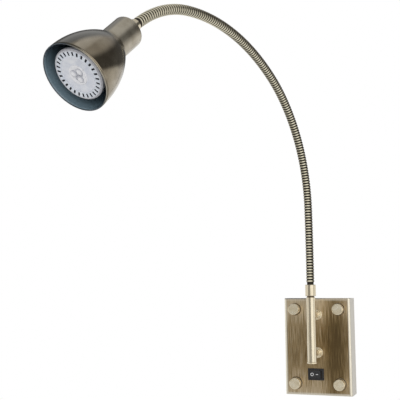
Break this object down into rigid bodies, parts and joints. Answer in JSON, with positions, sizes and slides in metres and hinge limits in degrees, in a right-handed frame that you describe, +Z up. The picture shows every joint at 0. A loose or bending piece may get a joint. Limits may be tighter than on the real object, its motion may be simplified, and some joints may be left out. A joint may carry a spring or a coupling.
{
  "type": "gooseneck wall lamp",
  "caption": "Wall lamp in antique brass: a box with a rocker switch, a stem on posts, a ribbed gooseneck and a bowl shade over a spot lamp.",
  "frame": {"origin": "centre of the face that lies on the wall", "axes": "+Z up the wall, +X to the right as seen from the room, +Y into the wall; the lamp reaches out along -Y"},
  "size_m": [0.1793, 0.5448, 0.4394],
  "materials": {
    "antique_brass": "brushed antique brass, lacquered",
    "dark_bronze": "spun, darkened and polished",
    "bright_brass": "turned and polished pale brass",
    "zinc_steel": "zinc plated",
    "nickel": "nickel plated",
    "lamp_shell": "cast and painted white grey",
    "lamp_plastic": "moulded white",
    "lens": "frosted clear",
    "ceramic": "glazed ceramic",
    "black_switch": "moulded black",
    "terminal_white": "moulded natural white",
    "rubber_black": "soft black rubber",
    "lead_sleeve": "round sleeved lead",
    "wire_sleeve": "insulated single wires"
  },
  "bodies": {
    "base": {"wall_plate": "zinc_steel", "wall_box": "antique_brass", "cap_nuts": "bright_brass", "stem_posts": "bright_brass", "post_washers": "zinc_steel", "post_nuts": "zinc_steel", "stem_tube": "bright_brass", "stem_end_plug": "bright_brass", "stem_nipple": "antique_brass", "switch_body": "black_switch", "switch_tabs": "nickel", "grommet": "rubber_black", "terminal_block": "terminal_white", "terminal_screws": "nickel", "block_screw": "zinc_steel", "earth_screw": "bright_brass", "stem_lead": "lead_sleeve", "switch_wires": "wire_sleeve"},
    "rocker": {"switch_rocker": "black_switch"},
    "neck_foot": {"lower_ferrule": "bright_brass"},
    "neck_length_1": {"neck_1": "bright_brass", "lead_1": "lead_sleeve"},
    "neck_length_2": {"neck_2": "bright_brass", "lead_2": "lead_sleeve"},
    "neck_length_3": {"neck_3": "bright_brass", "lead_3": "lead_sleeve"},
    "neck_length_4": {"neck_4": "bright_brass", "lead_4": "lead_sleeve"},
    "neck_length_5": {"neck_5": "bright_brass", "lead_5": "lead_sleeve"},
    "neck_length_6": {"neck_6": "bright_brass", "lead_6": "lead_sleeve"},
    "head": {"upper_ferrule": "bright_brass", "neck_cup": "dark_bronze", "head_nut": "zinc_steel", "shade": "dark_bronze", "lampholder": "ceramic", "lampholder_bridge": "zinc_steel", "bridge_screws": "nickel", "head_lead": "lead_sleeve"},
    "lamp": {"lamp_housing": "lamp_shell", "lamp_face": "lamp_plastic", "lamp_lens": "lens", "lamp_pins": "nickel"}
  },
  "joints": [
    {"name": "rocker_tilt", "type": "hinge", "parent": "base", "child": "rocker", "pos_m": [-0.003, -0.0347, -0.0372], "axis": [0, 0, 1], "range_deg": [0, 12]},
    {"name": "neck_swing", "type": "hinge", "parent": "base", "child": "neck_foot", "pos_m": [0, -0.0715, 0.0763], "axis": [0, 0, 1], "range_deg": [-75, 95]},
    {"name": "bend_1", "type": "hinge", "parent": "neck_foot", "child": "neck_length_1", "pos_m": [0, -0.0715, 0.0845], "axis": [0.981, -0.1942, 0], "range_deg": [-10, 20]},
    {"name": "bend_2", "type": "hinge", "parent": "neck_length_1", "child": "neck_length_2", "pos_m": [-0.00031, -0.07308, 0.18348], "axis": [0.981, -0.1942, 0], "range_deg": [-15, 15]},
    {"name": "bend_3", "type": "hinge", "parent": "neck_length_2", "child": "neck_length_3", "pos_m": [-0.00639, -0.10379, 0.27595], "axis": [0.981, -0.1942, 0], "range_deg": [-15, 15]},
    {"name": "bend_4", "type": "hinge", "parent": "neck_length_3", "child": "neck_length_4", "pos_m": [-0.0209, -0.17703, 0.33938], "axis": [0.981, -0.1942, 0], "range_deg": [-15, 15]},
    {"name": "bend_5", "type": "hinge", "parent": "neck_length_4", "child": "neck_length_5", "pos_m": [-0.03926, -0.26977, 0.36712], "axis": [0.981, -0.1942, 0], "range_deg": [-15, 15]},
    {"name": "bend_6", "type": "hinge", "parent": "neck_length_5", "child": "neck_length_6", "pos_m": [-0.0584, -0.36644, 0.36342], "axis": [0.981, -0.1942, 0], "range_deg": [-15, 15]},
    {"name": "head_tilt", "type": "hinge", "parent": "neck_length_6", "child": "head", "pos_m": [-0.07566, -0.45359, 0.32193], "axis": [0.981, -0.1942, 0], "range_deg": [-20, 20]},
    {"name": "lamp_twist", "type": "hinge", "parent": "head", "child": "lamp", "pos_m": [-0.08799, -0.48522, 0.29015], "axis": [-0.2652, -0.6803, -0.6833], "range_deg": [0, 25]}
  ]
}
